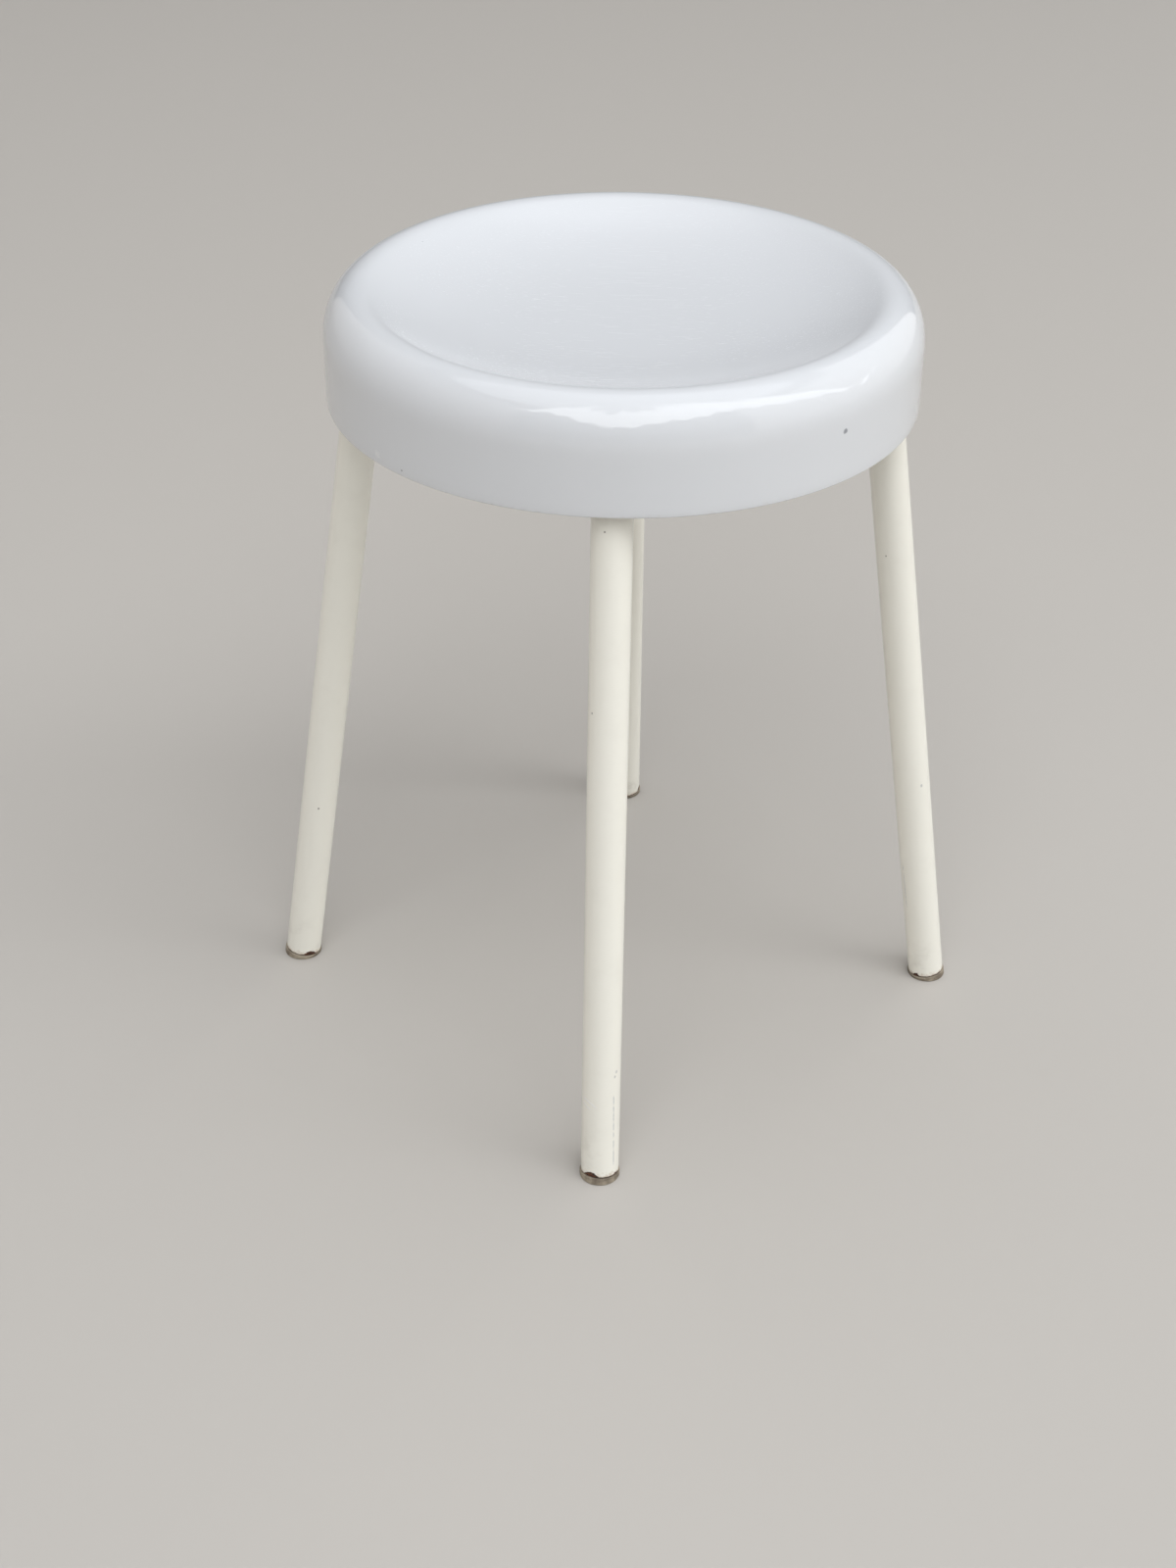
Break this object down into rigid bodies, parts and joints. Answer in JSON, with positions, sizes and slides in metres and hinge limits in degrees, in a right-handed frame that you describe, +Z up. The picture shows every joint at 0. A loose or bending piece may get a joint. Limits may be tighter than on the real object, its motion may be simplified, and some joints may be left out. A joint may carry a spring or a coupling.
{
  "type": "shower stool",
  "caption": "Round shower stool with a dished white plastic seat, rolled rim and skirt on splayed cream enamelled tube legs with worn glides.",
  "frame": {"origin": "on the floor under the centre of the seat", "axes": "+Z up; the front leg towards -Y, the right leg towards +X"},
  "size_m": [0.4304, 0.4304, 0.464],
  "materials": {
    "seat_plastic": "glossy white moulding with fine scuffs and a dull lower edge",
    "leg_enamel": "cream gloss enamel on steel tube, with small chips down to rusty steel, scratches and dust",
    "glide_plastic": "grey-brown plastic, scuffed and dirty",
    "zinc_steel": "zinc-plated steel, dulled"
  },
  "bodies": {
    "root": {"seat_shell": "seat_plastic", "cross_bar_upper": "zinc_steel", "cross_bar_lower": "zinc_steel", "centre_rivet": "zinc_steel", "foot_glide_front": "glide_plastic", "leg_tube_front": "leg_enamel", "leg_plug_front": "zinc_steel", "spring_washer_front": "zinc_steel", "leg_stud_front": "zinc_steel", "weld_nut_front": "zinc_steel", "seat_screw_front_inner": "zinc_steel", "seat_washer_front_inner": "zinc_steel", "seat_screw_front_outer": "zinc_steel", "seat_washer_front_outer": "zinc_steel", "foot_glide_right": "glide_plastic", "leg_tube_right": "leg_enamel", "leg_plug_right": "zinc_steel", "spring_washer_right": "zinc_steel", "leg_stud_right": "zinc_steel", "weld_nut_right": "zinc_steel", "seat_screw_right_inner": "zinc_steel", "seat_washer_right_inner": "zinc_steel", "seat_screw_right_outer": "zinc_steel", "seat_washer_right_outer": "zinc_steel", "foot_glide_rear": "glide_plastic", "leg_tube_rear": "leg_enamel", "leg_plug_rear": "zinc_steel", "spring_washer_rear": "zinc_steel", "leg_stud_rear": "zinc_steel", "weld_nut_rear": "zinc_steel", "seat_screw_rear_inner": "zinc_steel", "seat_washer_rear_inner": "zinc_steel", "seat_screw_rear_outer": "zinc_steel", "seat_washer_rear_outer": "zinc_steel", "foot_glide_left": "glide_plastic", "leg_tube_left": "leg_enamel", "leg_plug_left": "zinc_steel", "spring_washer_left": "zinc_steel", "leg_stud_left": "zinc_steel", "weld_nut_left": "zinc_steel", "seat_screw_left_inner": "zinc_steel", "seat_washer_left_inner": "zinc_steel", "seat_screw_left_outer": "zinc_steel", "seat_washer_left_outer": "zinc_steel"}
  },
  "joints": []
}
